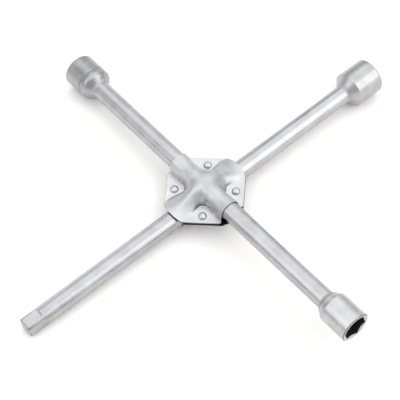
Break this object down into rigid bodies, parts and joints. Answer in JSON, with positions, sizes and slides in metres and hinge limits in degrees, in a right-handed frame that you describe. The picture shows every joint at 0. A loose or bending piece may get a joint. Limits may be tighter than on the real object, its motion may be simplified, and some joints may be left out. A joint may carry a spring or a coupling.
{
  "type": "lug wrench",
  "caption": "Cross-shaped wheel wrench with hexagon sockets and a square drive end, its round bars clamped between pressed plates by rivets.",
  "frame": {"origin": "middle of the crossing, on the parting plane between the two hub plates", "axes": "+X along the lower bar towards the 23 mm socket, +Y along the upper bar towards the 21 mm socket, +Z from the lower bar to the upper bar"},
  "size_m": [0.3687, 0.344, 0.0432],
  "materials": {
    "bar_steel": "satin zinc plating, lightly mottled, faint drawing lines along the bar",
    "socket_steel": "satin zinc plating over a turned surface, fine rings round the socket",
    "weld_steel": "plated weld bead, slightly rough",
    "plate_steel": "satin zinc plating over smooth pressed sheet",
    "rivet_steel": "bright zinc plating, rolled dome"
  },
  "bodies": {
    "root": {"upper_bar": "bar_steel", "lower_bar": "bar_steel", "socket_19mm": "socket_steel", "socket_21mm": "socket_steel", "socket_23mm": "socket_steel", "weld_ring_19mm": "weld_steel", "weld_ring_21mm": "weld_steel", "weld_ring_23mm": "weld_steel", "hub_plate_upper": "plate_steel", "hub_plate_lower": "plate_steel", "rivet_1": "rivet_steel", "rivet_2": "rivet_steel", "rivet_3": "rivet_steel", "rivet_4": "rivet_steel"}
  },
  "joints": []
}
